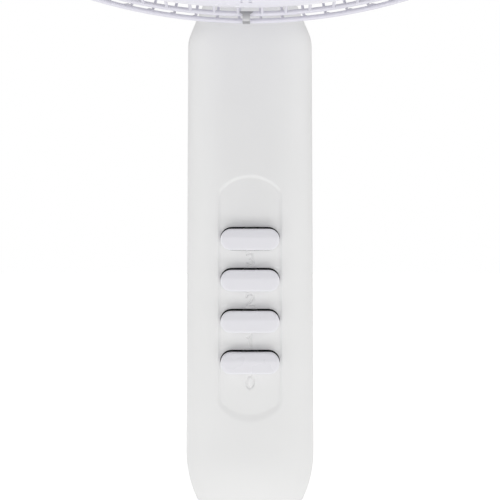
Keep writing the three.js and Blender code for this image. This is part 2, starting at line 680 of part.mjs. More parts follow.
const head = new THREE.Group();
head.position.z = HEAD_Z;
buildMotor(head);
buildGuards(head);
buildClips(head);
buildFanWheel(head);
fan.add(head);

export default fan;
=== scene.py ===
"""The looks of a white pedestal fan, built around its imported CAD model.

Lengths are in millimetres, as in the CAD source, and become metres where a mesh is made. +Z is up,
the fan blows towards -Y, and the origin is on the floor under the pole.
"""

import math

import bmesh
import bpy
import numpy as np
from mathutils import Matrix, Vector


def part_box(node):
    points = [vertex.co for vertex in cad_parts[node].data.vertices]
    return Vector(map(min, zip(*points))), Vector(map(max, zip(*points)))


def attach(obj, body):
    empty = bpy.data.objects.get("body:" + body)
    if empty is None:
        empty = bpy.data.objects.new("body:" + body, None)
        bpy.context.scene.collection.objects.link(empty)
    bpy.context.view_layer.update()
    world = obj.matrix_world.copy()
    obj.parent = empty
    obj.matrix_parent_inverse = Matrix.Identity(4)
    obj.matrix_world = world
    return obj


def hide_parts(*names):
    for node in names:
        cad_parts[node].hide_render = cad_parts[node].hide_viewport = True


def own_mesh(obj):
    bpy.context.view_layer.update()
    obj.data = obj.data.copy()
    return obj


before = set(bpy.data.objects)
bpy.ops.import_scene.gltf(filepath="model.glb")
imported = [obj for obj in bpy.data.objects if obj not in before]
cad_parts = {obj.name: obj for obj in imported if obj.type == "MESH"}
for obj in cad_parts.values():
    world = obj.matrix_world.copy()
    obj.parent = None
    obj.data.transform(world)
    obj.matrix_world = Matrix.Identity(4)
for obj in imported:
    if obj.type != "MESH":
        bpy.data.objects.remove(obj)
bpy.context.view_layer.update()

MM = 0.001  # metres in a millimetre


def box_mm(node):
    """Lowest and highest corner of a CAD node, in millimetres."""
    low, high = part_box(node)
    return np.array(low) / MM, np.array(high) / MM


def middle_z(node):
    """Height of a CAD node's middle."""
    low, high = box_mm(node)
    return (low[2] + high[2]) / 2


# ---------------------------------------------------------------- places, read from the frame
COLUMN_DROP = 121  # from the column's own origin, at the top button's lower edge, down to its end
COLUMN_Z = box_mm("column_front")[0][2] + COLUMN_DROP
HEAD_Z = middle_z("guard_badge")  # motor axis
TILT_Z = middle_z("tilt_knob")

# ---------------------------------------------------------------- camera: level with the column's origin
VIEW_DISTANCE = 850
SENSOR = 36.0
FOCAL_SHARE = 3.852  # focal length over sensor width
camera_data = bpy.data.cameras.new("camera")
camera_data.sensor_width = SENSOR
camera_data.lens = SENSOR * FOCAL_SHARE
camera_data.clip_start = 0.05
camera_data.clip_end = 200
camera = bpy.data.objects.new("camera", camera_data)
camera.location = (0, -VIEW_DISTANCE * MM, COLUMN_Z * MM)
camera.rotation_euler = (math.radians(90), 0, 0)
bpy.context.scene.collection.objects.link(camera)
bpy.context.scene.camera = camera


# ---------------------------------------------------------------- materials
class Shader:
    """A Principled material whose nodes are added one after another."""

    def __init__(self, name, color, roughness, metallic=0.0):
        self.material = bpy.data.materials.new(name)
        self.material.use_nodes = True
        self.tree = self.material.node_tree
        self.bsdf = self.tree.nodes["Principled BSDF"]
        self.bsdf.inputs["Base Color"].default_value = (*color, 1)
        self.bsdf.inputs["Roughness"].default_value = roughness
        self.bsdf.inputs["Metallic"].default_value = metallic
        self.color = color
        self.place = self.tree.nodes.new("ShaderNodeTexCoord").outputs["Object"]
        self.normal = None

    def node(self, kind, **inputs):
        made = self.tree.nodes.new(kind)
        for name, value in inputs.items():
            made.inputs[name].default_value = value
        return made

    def link(self, start, end):
        self.tree.links.new(start, end)

    def stretched(self, scale):
        mapping = self.node("ShaderNodeMapping", Scale=scale)
        self.link(self.place, mapping.inputs["Vector"])
        return mapping.outputs["Vector"]

    def noise(self, scale, detail=2.0, stretch=None):
        made = self.node("ShaderNodeTexNoise", Scale=scale, Detail=detail)
        self.link(self.stretched(stretch) if stretch else self.place, made.inputs["Vector"])
        return made.outputs["Fac"]

    def ramp(self, factor, low, high, start=0.35, end=0.65):
        """Two colours, or two greys, chosen by a factor."""
        made = self.tree.nodes.new("ShaderNodeValToRGB")
        for element, position, value in zip(made.color_ramp.elements, (start, end), (low, high)):
            element.position = position
            element.color = (*value, 1) if isinstance(value, tuple) else (value, value, value, 1)
        self.link(factor, made.inputs["Fac"])
        return made.outputs["Color"]

    def mottle(self, scale, share, stretch=None):
        """Colour that drifts a little lighter and darker."""
        low = tuple(c * (1 - share) for c in self.color)
        high = tuple(min(1.0, c * (1 + share)) for c in self.color)
        self.link(self.ramp(self.noise(scale, 3.0, stretch), low, high), self.bsdf.inputs["Base Color"])
        return self

    def gloss(self, scale, low, high, stretch=None):
        """Roughness that varies between two values."""
        self.link(self.ramp(self.noise(scale, 3.0, stretch), low, high), self.bsdf.inputs["Roughness"])
        return self

    def bump(self, height, depth, strength=1.0):
        """A relief of the given depth in millimetres, over any relief there is already."""
        made = self.node("ShaderNodeBump", Strength=strength, Distance=depth * MM)
        self.link(height, made.inputs["Height"])
        if self.normal is not None:
            self.link(self.normal, made.inputs["Normal"])
        self.normal = made.outputs["Normal"]
        self.link(self.normal, self.bsdf.inputs["Normal"])
        return self

    def grain(self, scale, depth, stretch=None):
        return self.bump(self.noise(scale, 2.0, stretch), depth)

    def stripes(self, scale, direction, depth):
        made = self.node("ShaderNodeTexWave", Scale=scale, Distortion=0.0)
        made.bands_direction = direction
        self.link(self.place, made.inputs["Vector"])
        return self.bump(made.outputs["Fac"], depth)

    def set(self, **values):
        for name, value in values.items():
            self.bsdf.inputs[name.replace("_", " ")].default_value = value
        return self


def moulded(name, color, roughness, grain=0.012):
    """Injection-moulded plastic with a fine spark-eroded skin and slow flow marks."""
    shader = Shader(name, color, roughness)
    shader.mottle(14, 0.012).gloss(60, roughness - 0.05, roughness + 0.05)
    return shader.grain(2600, grain).grain(90, 0.02)


BODY_WHITE = (0.80, 0.80, 0.795)
shell_white = moulded("shell_white", BODY_WHITE, 0.46).set(Specular_IOR_Level=0.42).material
knob_white = moulded("knob_white", (0.78, 0.78, 0.775), 0.5, 0.02).material
button_white = moulded("button_white", (0.79, 0.785, 0.82), 0.3, 0.004).set(Specular_IOR_Level=0.5).material
black_plastic = moulded("black_plastic", (0.035, 0.035, 0.038), 0.55, 0.03).material
rubber = moulded("rubber", (0.02, 0.02, 0.021), 0.85, 0.05).material


def glossy(name, color, roughness, coat, coat_roughness):
    """Smooth plastic with a clear skin."""
    shader = moulded(name, color, roughness, 0.003)
    return shader.set(Coat_Weight=coat, Coat_Roughness=coat_roughness).material


blade_white = glossy("blade_white", (0.79, 0.79, 0.86), 0.2, 0.4, 0.1)
trim_white = glossy("trim_white", (0.77, 0.76, 0.83), 0.3, 0.3, 0.15)


def painted(name, color, roughness, peel):
    """Powder coat with orange peel."""
    shader = Shader(name, color, roughness).set(Coat_Weight=0.3, Coat_Roughness=0.15)
    return shader.mottle(25, 0.015).gloss(120, roughness - 0.06, roughness + 0.06).grain(700, peel).material


wire_white = painted("wire_white", (0.73, 0.72, 0.79), 0.34, 0.01)
tube_white = painted("tube_white", (0.79, 0.79, 0.785), 0.36, 0.015)


def bare_metal(name, color, roughness, stretch, depth=0.004):
    """Metal drawn or rolled in one direction."""
    shader = Shader(name, color, roughness, 1.0)
    shader.mottle(40, 0.05).gloss(300, roughness - 0.05, roughness + 0.1, stretch)
    return shader.grain(900, depth, stretch).material


chrome = bare_metal("chrome", (0.80, 0.80, 0.81), 0.10, (1, 1, 0.02), 0.0006)
bright_steel = bare_metal("bright_steel", (0.56, 0.56, 0.57), 0.3, (1, 0.05, 1))
clip_steel = bare_metal("clip_steel", (0.48, 0.48, 0.49), 0.45, (1, 0.05, 1))
dull_steel = bare_metal("dull_steel", (0.22, 0.22, 0.23), 0.5, (1, 1, 0.2), 0.02)
cast_metal = Shader("cast_metal", (0.42, 0.43, 0.44), 0.5, 1.0).mottle(60, 0.08).grain(1500, 0.05).material
stack = Shader("laminations", (0.16, 0.16, 0.17), 0.45, 1.0)
laminations = stack.mottle(80, 0.1).stripes(160, "Y", 0.2).material
winding = Shader("winding", (0.47, 0.17, 0.07), 0.3, 1.0).mottle(90, 0.2).stripes(240, "Z", 0.3).material
bronze = Shader("bronze", (0.40, 0.24, 0.11), 0.42, 1.0).mottle(200, 0.15).grain(2500, 0.03).material

CARRIED = {
    black_plastic: ["switch_block", "capacitor", "gearbox", "pole_socket"],
    rubber: ["foot_1", "foot_2", "foot_3", "foot_4", "foot_5"],
    shell_white: ["terminal_block"],
    chrome: ["motor_shaft"],
    bright_steel: ["pole_plug", "column_screw_1", "column_screw_2", "column_screw_3", "column_screw_4",
                   "tilt_bolt", "cover_screw"],
    dull_steel: ["base_weight"],
    laminations: ["stator", "rotor_core"],
    cast_metal: ["motor_frame", "rear_bracket", "tilt_fork"],
    bronze: ["front_bearing", "rear_bearing"],
    winding: ["coil_front", "coil_rear"],
}
for material, nodes in CARRIED.items():
    for node in nodes:
        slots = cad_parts[node].data.materials
        slots.clear()
        slots.append(material)


# ---------------------------------------------------------------- mesh helpers
BOX_FACES = [(0, 1, 3, 2), (4, 6, 7, 5), (0, 4, 5, 1), (2, 3, 7, 6), (0, 2, 6, 4), (1, 5, 7, 3)]
AXLE = (0, 0, HEAD_Z)  # a point on the motor axis


def box_corners(x, y, z):
    """Corners over three (low, high) pairs, in the order that BOX_FACES expects."""
    return [(a, b, c) for a in x for b in y for c in z]


def loft_faces(rows, count, first=0):
    """Faces through rows of count points each, closed all round and capped at both ends."""
    faces = []
    for row in range(rows - 1):
        a = first + row * count
        for k in range(count):
            m = (k + 1) % count
            faces.append((a + k, a + m, a + count + m, a + count + k))
    last = first + (rows - 1) * count
    return faces + [tuple(range(first, first + count)), tuple(range(last, last + count))]


def along_axis(axis, distance, a, b):
    """A point at a distance along an axis, and at (a, b) across it."""
    return {"x": (distance, a, b), "y": (a, distance, b), "z": (a, b, distance)}[axis]


def mesh_of(name, vertices, faces):
    """A mesh from millimetres."""
    mesh = bpy.data.meshes.new(name)
    mesh.from_pydata((np.asarray(vertices, float) * MM).tolist(), [], faces)
    return mesh


def clean(mesh, reach):
    """Joins points that are closer than a reach in millimetres, and turns every face outwards."""
    tidy = bmesh.new()
    tidy.from_mesh(mesh)
    bmesh.ops.remove_doubles(tidy, verts=tidy.verts, dist=reach * MM)
    bmesh.ops.recalc_face_normals(tidy, faces=tidy.faces)
    tidy.to_mesh(mesh)
    tidy.free()


def placed(name, data):
    """An object for a mesh or a light, in the scene."""
    made = bpy.data.objects.new(name, data)
    bpy.context.scene.collection.objects.link(made)
    return made


def piece(name, vertices, faces, body, slot, material, replaces=(), sharp=32):
    """A mesh object from millimetres, riding on a body."""
    return finished(name, mesh_of(name, vertices, faces), body, material, replaces, sharp)


def finished(name, mesh, body, material, replaces=(), sharp=32):
    """Cleans a mesh, shades it smooth with crisp edges, and ties it to its body."""
    clean(mesh, 0.002)
    mesh.materials.clear()
    mesh.materials.append(material)
    mesh.shade_smooth()
    mesh.set_sharp_from_angle(angle=math.radians(sharp))
    made = placed(name, mesh)
    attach(made, body)
    if replaces:
        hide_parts(*replaces)
    return made


def turned_mesh(profile, axis="z", at=(0, 0, 0), segments=96):
    """Vertices and faces of a profile of [radius, distance] turned around an axis through a point."""
    vertices = []
    faces = []
    rows = len(profile)
    for i in range(segments):
        angle = 2 * math.pi * i / segments
        c, s = math.cos(angle), math.sin(angle)
        for radius, distance in profile:
            vertices.append(np.add(along_axis(axis, distance, radius * c, radius * s), at))
    closed = profile[0][0] > 0
    for i in range(segments):
        j = (i + 1) % segments
        for k in range(rows if closed else rows - 1):
            m = (k + 1) % rows
            corners = [i * rows + k, j * rows + k, j * rows + m, i * rows + m]
            if profile[k][0] == 0:
                corners = [i * rows + k, j * rows + m, i * rows + m]
            elif profile[m][0] == 0:
                corners = [i * rows + k, j * rows + k, i * rows + m]
            faces.append(corners)
    return vertices, faces


def rounded(profile, radius, steps=4):
    """A profile whose inner corners are rounded. Its first and last points stay."""
    points = [np.array(p, float) for p in profile]
    closed = points[0][0] > 0
    count = len(points)
    made = []
    for i, corner in enumerate(points):
        if not closed and i in (0, count - 1):
            made.append(tuple(corner))
            continue
        before = points[i - 1] - corner
        after = points[(i + 1) % count] - corner
        lengths = np.linalg.norm(before), np.linalg.norm(after)
        turn = math.acos(np.clip(before @ after / (lengths[0] * lengths[1]), -1, 1))
        if turn > math.radians(165):
            made.append(tuple(corner))
            continue
        reach = min(radius / math.tan(turn / 2), 0.45 * min(lengths))
        start = corner + before / lengths[0] * reach
        end = corner + after / lengths[1] * reach
        for k in range(steps + 1):
            t = k / steps
            made.append(tuple((1 - t) ** 2 * start + 2 * t * (1 - t) * corner + t * t * end))
    return made


def turned(
    name, profile, body, slot, material, replaces=(), axis="z", at=(0, 0, 0), radius=0.0, segments=96
):
    """A turned piece. A radius rounds its profile's corners."""
    outline = rounded(profile, radius) if radius else profile
    return piece(name, *turned_mesh(outline, axis, at, segments), body, slot, material, replaces)


def plain(name, vertices, faces):
    """A throwaway solid for cutting with."""
    mesh = mesh_of(name, vertices, faces)
    clean(mesh, 0.0005)
    return placed(name, mesh)


def combined(base, operations):
    """The mesh of base after booleans with (operation, object) pairs. It uses all the objects up."""
    for operation, tool in operations:
        modifier = base.modifiers.new("cut", "BOOLEAN")
        modifier.operation = operation
        modifier.solver = "EXACT"
        modifier.object = tool
    bpy.context.view_layer.update()
    mesh = bpy.data.meshes.new_from_object(base.evaluated_get(bpy.context.evaluated_depsgraph_get()))
    for used in [base] + [tool for _, tool in operations]:
        bpy.data.objects.remove(used)
    return mesh


def joined(solids):
    """Separate solids as one cutting tool."""
    whole = bmesh.new()
    for solid in solids:
        whole.from_mesh(solid.data)
        bpy.data.objects.remove(solid)
    mesh = bpy.data.meshes.new("tool")
    whole.to_mesh(mesh)
    whole.free()
    return placed("tool", mesh)


def cylinder(radius, start, end, axis, at=(0, 0, 0), segments=48):
    profile = [(0, start), (radius, start), (radius, end), (0, end)]
    return plain("tool", *turned_mesh(profile, axis, at, segments))


def block(x, y, z):
    return plain("tool", box_corners(x, y, z), BOX_FACES)


def prism(outline, start, end):
    """A solid between two Y planes over an outline of (x, z)."""
    count = len(outline)
    vertices = [(x, start, z) for x, z in outline] + [(x, end, z) for x, z in outline]
    return plain("tool", vertices, loft_faces(2, count))


# ---------------------------------------------------------------- column
WALL = 2.4
SPLIT_Y = 6  # plane between the front cover and the rear shell
SPLIT_GAP = 0.3
SECTION_POWER = 2.4  # exponent of the section's superellipse
HALF_WIDTH = 28
HALF_DEPTH = 35
SIDE_TAPER = 0.8  # how far each side has come in at the shoulders
FRONT_TAPER = 3  # how far the front has come back at the shoulders
NECK_HALF = 17.5  # half width and half depth where the neck begins
NECK_TAPER = 2
BOTTOM = -COLUMN_DROP
BOTTOM_CURVE_Z = -88.3
BOTTOM_CURVE_HEIGHT = 37.5
SHOULDER_Z = 92
NECK_Z = 115
TOP = 178
PANEL_DEPTH = 0.7
PANEL_HALF_WIDTH = 13.7
PANEL_TOP = 31.8
PANEL_BOTTOM = -72.8
PANEL_ARC = 17.1  # radius of the panel's bowed ends
PANEL_CORNER = 5.2
CAP_SIZE = (25.0, 9.0)
CAP_LOWERED = 0.45  # how far a cap's middle is below its button's
BUTTON_COUNT = 4
BUTTON_TOP_Z = 4.9
BUTTON_PITCH = 17.4
SLOT_SIDE = 0.22  # clearance beside a button
SLOT_ABOVE = 0.85
SLOT_BELOW = 0.1
SLOT_EASE = 2.8  # width of the slope down into a slot from above
SLOT_SINK = 1.2  # depth of that slope
BUTTON_PROUD = 6.4
SCREWS = [(-14, 72), (14, 72), (-18.7, -66), (18.7, -66)]
GLAND_Z = -56
POLE_SCREW_Z = -92
POLE_HOLE = 15.3
BEHIND = (20, 60)  # cuts from the back of the column run between these Y planes
RELIEF_X = 17  # the panel and its slopes are nearer the middle than this
RELIEF_Z = (-80, 40)


def soft_min(a, b, size):
    """The smaller of two values, with the corner between them rounded."""
    share = min(max(0.5 + 0.5 * (b - a) / size, 0.0), 1.0)
    return b + (a - b) * share - size * share * (1 - share)


def column_half(z):
    """Half width and half depth of the column at a height over its own origin."""
    if z < BOTTOM_CURVE_Z:
        share = math.sqrt(max(0.0, 1 - ((BOTTOM_CURVE_Z - z) / BOTTOM_CURVE_HEIGHT) ** 2))
        return HALF_WIDTH * share, HALF_DEPTH * (0.35 + 0.65 * share)
    rise = (z - BOTTOM_CURVE_Z) / (SHOULDER_Z - BOTTOM_CURVE_Z)
    side = HALF_WIDTH - SIDE_TAPER * rise
    shoulder = HALF_WIDTH - SIDE_TAPER
    taper = shoulder - (shoulder - NECK_HALF) * (z - SHOULDER_Z) / (NECK_Z - SHOULDER_Z)
    neck = NECK_HALF - NECK_TAPER * (z - NECK_Z) / (TOP - NECK_Z)
    half_width = -soft_min(-soft_min(side, taper, 1.2), -neck, 2)
    front = HALF_DEPTH - FRONT_TAPER * min(rise, 1)
    return half_width, front + (NECK_HALF - front) * float(smooth_step(z, SHOULDER_Z - 4, TOP - 13))


def panel_outline(steps=14):
    """The panel's edge, anticlockwise from the right-hand side: arcs joined to the sides by round corners."""
    inner_arc = PANEL_ARC - PANEL_CORNER
    inner_side = PANEL_HALF_WIDTH - PANEL_CORNER
    slope = math.asin(inner_side / inner_arc)  # from the middle line to the corner's centre
    outline = []
    for end, sign in ((PANEL_TOP, 1), (PANEL_BOTTOM, -1)):
        centre = end - sign * PANEL_ARC
        corner = (inner_side, centre + sign * math.sqrt(inner_arc**2 - inner_side**2))
        half = []
        for k in range(steps + 1):
            angle = (math.pi / 2 - slope) * k / steps
            up = sign * PANEL_CORNER * math.sin(angle)
            half.append((corner[0] + PANEL_CORNER * math.cos(angle), corner[1] + up))
        for k in range(1, steps + 1):
            angle = math.pi / 2 - slope * (1 - k / steps)
            half.append((PANEL_ARC * math.cos(angle), centre + sign * PANEL_ARC * math.sin(angle)))
        whole = half + [(-x, z) for x, z in reversed(half[:-1])]
        outline += whole if sign > 0 else list(reversed(whole))
    return outline


def stadium(width, height, z, steps=16):
    """An outline of (x, z) with straight top and bottom and round ends."""
    radius = height / 2
    reach = width / 2 - radius
    right = [(reach + radius * math.sin(math.pi * k / steps), z - radius * math.cos(math.pi * k / steps))
             for k in range(steps + 1)]
    return right + [(-x, 2 * z - y) for x, y in right]


DIGIT_HEIGHT = 5.6
DIGIT_DROP = 8.7  # from a button's middle to its numeral's
DIGIT_DEPTH = 0.45
DIGIT_STROKE = (0.25, 0.6)  # half width of a stroke at its bottom and at its top
FAR = 1e9  # further than any distance on the fan


def arc(x, z, width, height, start, end, steps=14):
    """Points on an ellipse around (x, z), between two angles in degrees."""
    angles = np.radians(np.linspace(start, end, steps))
    return np.column_stack([x + width * np.cos(angles), z + height * np.sin(angles)])


def numeral_line(digit):
    """A numeral's stroke as one line, in a box one unit high."""
    return {
        0: arc(0, 0, 0.27, 0.46, 90, 450, 32),
        1: np.array([(-0.17, 0.27), (0.06, 0.46), (0.06, -0.46)]),
        2: np.vstack([arc(0, 0.2, 0.26, 0.26, 165, -35), [(-0.27, -0.46), (0.28, -0.46)]]),
        3: np.vstack([arc(-0.01, 0.235, 0.24, 0.225, 150, -90), arc(0, -0.225, 0.27, 0.235, 90, -150)]),
    }[digit]


def segment_distance(points, a, b):
    """Distance of points from the straight line between two others."""
    along = b - a
    share = np.clip((points - a) @ along / max(along @ along, 1e-12), 0, 1)
    return np.linalg.norm(points - a - share[:, None] * along, axis=1)


def line_distance(points, line):
    """Distance of points from an open line."""
    best = np.full(len(points), FAR)
    for a, b in zip(line[:-1], line[1:]):
        best = np.minimum(best, segment_distance(points, a, b))
    return best


def outline_distance(points, outline):
    """Distance of points from a closed outline, negative inside."""
    start = np.array(outline, float)
    end = np.roll(start, -1, axis=0)
    best = np.full(len(points), FAR)
    inside = np.zeros(len(points), bool)
    for a, b in zip(start, end):
        best = np.minimum(best, segment_distance(points, a, b))
        crosses = (a[1] > points[:, 1]) != (b[1] > points[:, 1])
        if a[1] != b[1]:
            at = a[0] + (points[:, 1] - a[1]) / (b[1] - a[1]) * (b[0] - a[0])
            inside ^= crosses & (points[:, 0] < at)
    return np.where(inside, -best, best)


def smooth_step(value, low, high):
    """0 below low and 1 above high, with an eased rise between them."""
    t = np.clip((value - low) / (high - low), 0, 1)
    return t * t * (3 - 2 * t)


def button_z(i):
    """Height of the i-th button from the top, over the column's origin."""
    return BUTTON_TOP_Z - BUTTON_PITCH * i


def digit(i):
    """The numeral of the i-th button from the top."""
    return BUTTON_COUNT - 1 - i


def column_heights():
    """Heights of the column's sections, close together over the panel and closest over the numerals."""
    fine = []
    z = PANEL_BOTTOM - 3
    while z < PANEL_TOP + 3:
        fine.append(z)
        drops = [abs(z - button_z(i) + DIGIT_DROP) for i in range(BUTTON_COUNT)]
        in_numeral = min(drops) < DIGIT_HEIGHT / 2 + 0.4
        z += 0.2 if in_numeral else 0.4
    curve = [BOTTOM_CURVE_Z - BOTTOM_CURVE_HEIGHT * math.sin(a) for a in np.linspace(0, 1.06, 16)]
    low = [BOTTOM] + [z for z in reversed(curve) if z > BOTTOM + 0.5]
    plain_low = list(np.linspace(BOTTOM_CURVE_Z + 2, PANEL_BOTTOM - 4, 6))
    plain_high = list(np.linspace(PANEL_TOP + 4, SHOULDER_Z - 6, 12))
    taper = list(np.linspace(SHOULDER_Z - 4, NECK_Z + 12, 30))
    neck = list(np.linspace(NECK_Z + 16, TOP, 12))
    return low + plain_low + fine + plain_high + taper + neck


def section_angles():
    """Angles of a section's points, close together across the panel at the front."""
    front = []
    for x in [*np.arange(-15.2, -2.3, 0.4), *np.arange(-2.2, 2.3, 0.2), *np.arange(2.4, 15.3, 0.4)]:
        c = (abs(x) / 27.6) ** (SECTION_POWER / 2)
        front.append(-math.pi / 2 + math.copysign(math.asin(c), x))
    left = list(np.linspace(-math.pi, front[0], 26))[:-1]
    right = list(np.linspace(front[-1], 0, 26))[1:]
    back = list(np.linspace(0, math.pi, 60))[1:-1]
    return left + front + right + back


def panel_sink(flat):
    """How far the front is sunk at points (x, z): the panel, the slopes into the slots, the numerals."""
    panel_edge = outline_distance(flat, panel_outline())
    inside = 1 - smooth_step(panel_edge, -1.4, -0.3)
    lowness = smooth_step(PANEL_BOTTOM + 12 - flat[:, 1], 0, 10)
    reach = 1.2 + 2.3 * lowness  # the step is gentler at the bottom
    sink = PANEL_DEPTH * (1 - smooth_step(panel_edge / reach, -1, 0.15))
    for i in range(BUTTON_COUNT):
        edge = outline_distance(flat, slot_outline(i))
        lip = 0.15 * (1 - smooth_step(edge, 0.0, 0.4))
        above = smooth_step(flat[:, 1] - button_z(i), 0.0, 4.5)
        slope = SLOT_SINK * above * (1 - np.clip(edge / SLOT_EASE, 0, 1)) ** 2
        sink += (lip + slope) * inside
        line = numeral_line(digit(i)) * DIGIT_HEIGHT + np.array([0, button_z(i) - DIGIT_DROP])
        sink += DIGIT_DEPTH * (1 - smooth_step(line_distance(flat, line), *DIGIT_STROKE))
    return sink


def column_solid(inset, relief):
    """A closed loft of the column. With relief, its front has the sunk panel and eased button slots."""
    angles = section_angles() if relief else list(np.linspace(-math.pi, math.pi, 97))[:-1]
    lining = [-115, -111, -107, -102, -96, BOTTOM_CURVE_Z, -40, 0, 40, *range(84, 172, 6), TOP + 1]
    heights = column_heights() if relief else lining
    rows = []
    for z in heights:
        half_width, half_depth = column_half(min(z, TOP))
        c, s = np.cos(angles), np.sin(angles)
        x = (half_width - inset) * np.sign(c) * np.abs(c) ** (2 / SECTION_POWER)
        y = (half_depth - inset) * np.sign(s) * np.abs(s) ** (2 / SECTION_POWER)
        rows.append(np.column_stack([x, y, np.full(len(angles), z)]))
    points = np.concatenate(rows)
    if relief:
        x, y, z = points.T
        near = (y < 0) & (np.abs(x) < RELIEF_X) & (z > RELIEF_Z[0]) & (z < RELIEF_Z[1])
        points[near, 1] += panel_sink(points[near][:, [0, 2]])
    points[:, 2] += COLUMN_Z
    return points, loft_faces(len(heights), len(angles))


def slot_outline(i, steps=16):
    """The hole that a button moves in. Nearly all of its clearance is above the button."""
    size = CAP_SIZE[0] + 2 * SLOT_SIDE, CAP_SIZE[1] + SLOT_ABOVE + SLOT_BELOW
    return stadium(*size, button_z(i) - CAP_LOWERED + (SLOT_ABOVE - SLOT_BELOW) / 2, steps)


def column_hollow():
    return plain("inner", *column_solid(WALL, False))


def pole_hole():
    return cylinder(POLE_HOLE, 630, 665, "z")


def column_part(start, end):
    """A block that holds what lies between two Y planes of the column."""
    return block((-60, 60), (start, end), (600, 960))


def column_front():
    base = plain("column_front_blank", *column_solid(0, True))
    holes = []
    for i in range(BUTTON_COUNT):
        outline = [(x, z + COLUMN_Z) for x, z in slot_outline(i, 24)]
        holes.append(prism(outline, -60, -12))
    steps = [("DIFFERENCE", column_hollow()),
             ("DIFFERENCE", joined(holes)),
             ("DIFFERENCE", pole_hole()),
             ("INTERSECT", column_part(-60, SPLIT_Y))]
    mesh = combined(base, steps)
    finished("column_front_cover", mesh, "mast", shell_white, ["column_front"], 28)


def column_rear():
    base = plain("column_rear_blank", *column_solid(0, True))
    steps = [("DIFFERENCE", column_hollow())]
    holes = [(3.5, x, z) for x, z in SCREWS] + [(5.3, 0, GLAND_Z), (3.6, 0, POLE_SCREW_Z)]
    for radius, x, z in holes:
        steps.append(("DIFFERENCE", cylinder(radius, *BEHIND, "y", (x, 0, COLUMN_Z + z))))
    steps.append(("DIFFERENCE", pole_hole()))
    steps.append(("INTERSECT", column_part(SPLIT_Y + SPLIT_GAP, 60)))
    mesh = combined(base, steps)
    finished("column_rear_shell", mesh, "mast", shell_white, ["column_rear"], 28)


def screw_wells():
    """Tubes inside the rear shell that the column's screws sit in."""
    for i, (x, z) in enumerate(SCREWS):
        half_width, half_depth = column_half(z)
        depth = half_depth * (1 - (abs(x) / half_width) ** SECTION_POWER) ** (1 / SECTION_POWER)
        profile = [(2.0, 20), (4.4, 20), (4.4, depth - 1.2), (3.55, depth - 1.2), (3.55, 25), (2.0, 25)]
        turned(f"screw_well_{i + 1}", profile, "mast", "white_plastic", shell_white,
               axis="y", at=(x, 0, COLUMN_Z + z), segments=32)


CAP_LENGTH = 11.8
BUTTON_BEVEL = 1.0  # radius of a cap's edge
BUTTON_CROWN = 0.9
BUTTON_LEAN = 0.9  # how far the cap's upper edge leans back
BUTTON_SIDE_EASE = 0.5
BEYOND_BACK = CAP_LENGTH * 9  # a depth that always ends up at the cap's back
STEM_HALF = (3.5, 2.0)


def button(i):
    """A push button: straight sides, a sloping margin, and a slightly domed face."""
    z = COLUMN_Z + button_z(i) - CAP_LOWERED
    face = -column_half(button_z(i))[1] - BUTTON_PROUD
    radius = CAP_SIZE[1] / 2
    loops = [(0, BEYOND_BACK), (0, BUTTON_CROWN)]
    for k in range(1, 9):
        turn = k / 8 * math.pi / 2
        loops.append((BUTTON_BEVEL * (1 - math.cos(turn)), BUTTON_CROWN * (1 - math.sin(turn))))
    for k in range(1, 8):
        loops.append((BUTTON_BEVEL + (radius - BUTTON_BEVEL) * k / 8, 0.0))
    steps = 18
    vertices = []
    for inset, depth in loops:
        size = (CAP_SIZE[0] - 2 * inset, CAP_SIZE[1] - 2 * inset)
        for x, height in stadium(*size, z, steps):
            back = BUTTON_LEAN * smooth_step((height - z) / radius, 0.1, 1.0)
            crisp = 1 - 0.7 * smooth_step((z - height) / radius, 0.0, 0.9)
            side = BUTTON_SIDE_EASE * (abs(x) / (CAP_SIZE[0] / 2)) ** 6
            vertices.append((x, face + min(depth * crisp + back + side, CAP_LENGTH), height))
    faces = loft_faces(len(loops), 2 * (steps + 1))
    name = f"button_{digit(i)}"
    piece(f"{name}_cap", vertices, faces, name, "button_plastic", button_white, [name], 40)
    x, rise = STEM_HALF
    corners = box_corners((-x, x), (face + CAP_LENGTH - 1, -10), (z - rise, z + rise))
    piece(f"{name}_stem", corners, BOX_FACES, name, "button_plastic", button_white)


SPRING_RADIUS = 4.9
SPRING_WIRE = 0.4
SPRING_TURNS = 5


def spring(i):
    """The coil behind a button, on a mesh of its own."""
    low, high = box_mm(f"button_spring_{i}")
    start, end = low[1] + SPRING_WIRE, high[1] - SPRING_WIRE
    z = middle_z(f"button_spring_{i}")
    forward = np.array([0, 1, 0])
    steps, sides = SPRING_TURNS * 24, 8
    vertices = []
    for k in range(steps + 1):
        turn = 2 * math.pi * SPRING_TURNS * k / steps
        out = np.array([math.cos(turn), 0, math.sin(turn)])
        middle = out * SPRING_RADIUS + (0, start + (end - start) * k / steps, z)
        for j in range(sides):
            angle = 2 * math.pi * j / sides
            vertices.append(middle + SPRING_WIRE * (math.cos(angle) * out + math.sin(angle) * forward))
    faces = loft_faces(steps + 1, sides)
    coil = piece(f"spring_{i}", vertices, faces, "mast", "steel", bright_steel, [f"button_spring_{i}"])
    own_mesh(coil)


# ---------------------------------------------------------------- head
GUARD_WIRES = 144
WIRE_RADIUS = 0.6
RIM_WIRE = 0.95
REAR_RIM = (209.8, -116.5)  # radius, and place along the motor axis
FRONT_RIM = (207.5, -120.3)
CORNER_RADIUS = 193.8  # centre of the front wires' bend
CORNER_Y = -148
CORNER_BEND = 11.5
TRIM_GAP = 1.5
TRIM_WALL = 1.8
LATCH_SLITS = [(-3.4, -2.7), (-0.5, 0.6)]  # the slits on both sides of the ring's snap tongue
LATCH_REACH = 207.6  # radius where the slits end


def bend_point(degrees, offset=0.0):
    """A point on the front wires' bend, or outside it by an offset, from 0 at the side to 90 at the front."""
    angle = math.radians(degrees)
    reach = CORNER_BEND + offset
    return CORNER_RADIUS + reach * math.cos(angle), CORNER_Y - reach * math.sin(angle)


